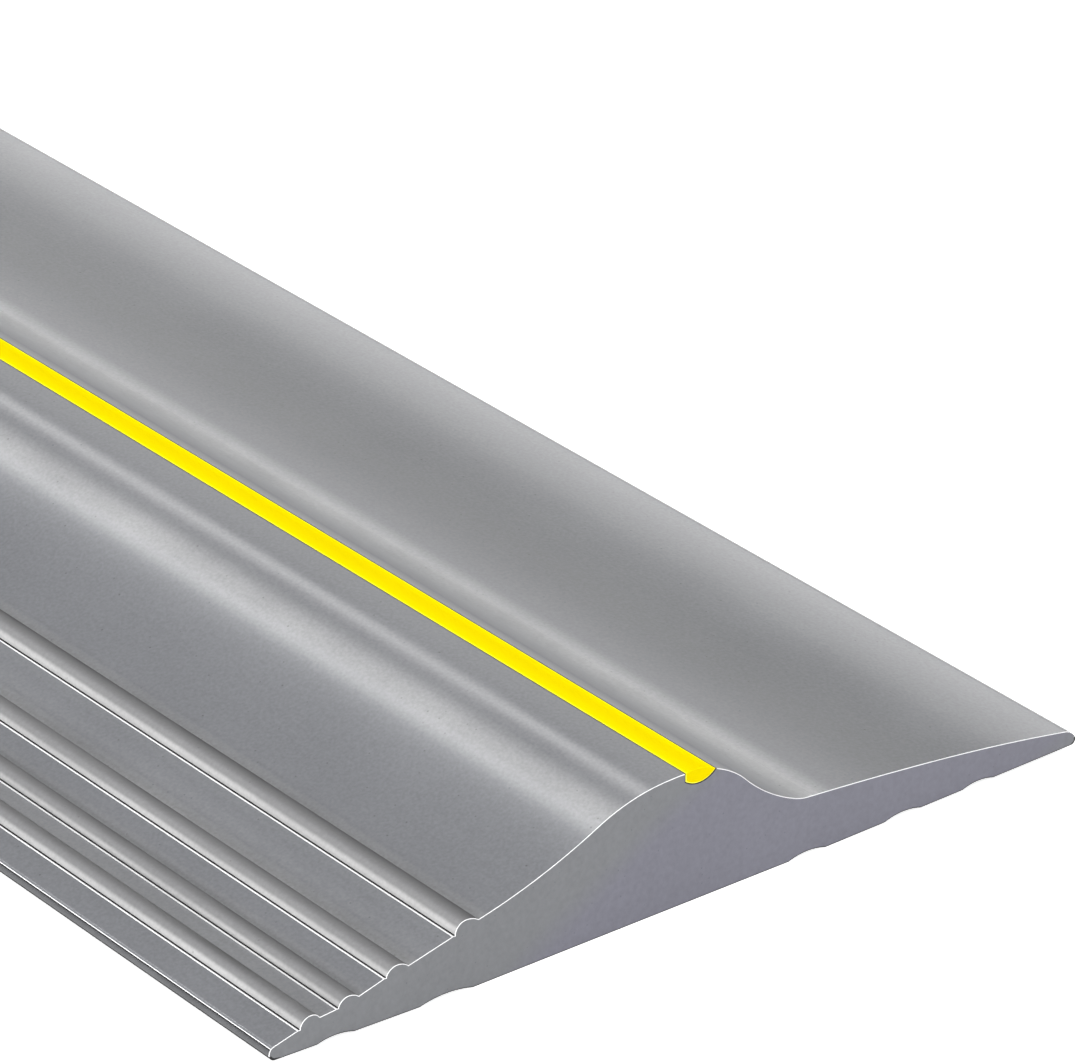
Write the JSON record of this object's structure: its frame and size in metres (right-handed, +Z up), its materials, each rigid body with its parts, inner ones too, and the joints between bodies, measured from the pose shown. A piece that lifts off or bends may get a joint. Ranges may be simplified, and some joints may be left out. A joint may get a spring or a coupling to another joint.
{
  "type": "threshold strip",
  "caption": "Low rubber ramp strip for a garage doorway, with a ribbed toe, a rounded crest carrying a bright bead, a trough for the door's bottom seal and a long flat tail.",
  "frame": {"origin": "middle of the underside, on the floor plane", "axes": "+X along the strip's length, +Y from the ribbed toe outside the door to the flat tail inside it, +Z up from the floor"},
  "size_m": [3.05, 0.105, 0.0151],
  "materials": {
    "grey_rubber": "satin mid-grey extruded rubber with a fine matt grain; square knife-cut ends",
    "yellow_marker": "satin bright safety-yellow extruded rubber"
  },
  "bodies": {
    "root": {"ramp_profile": "grey_rubber", "marker_bead": "yellow_marker"}
  },
  "joints": []
}
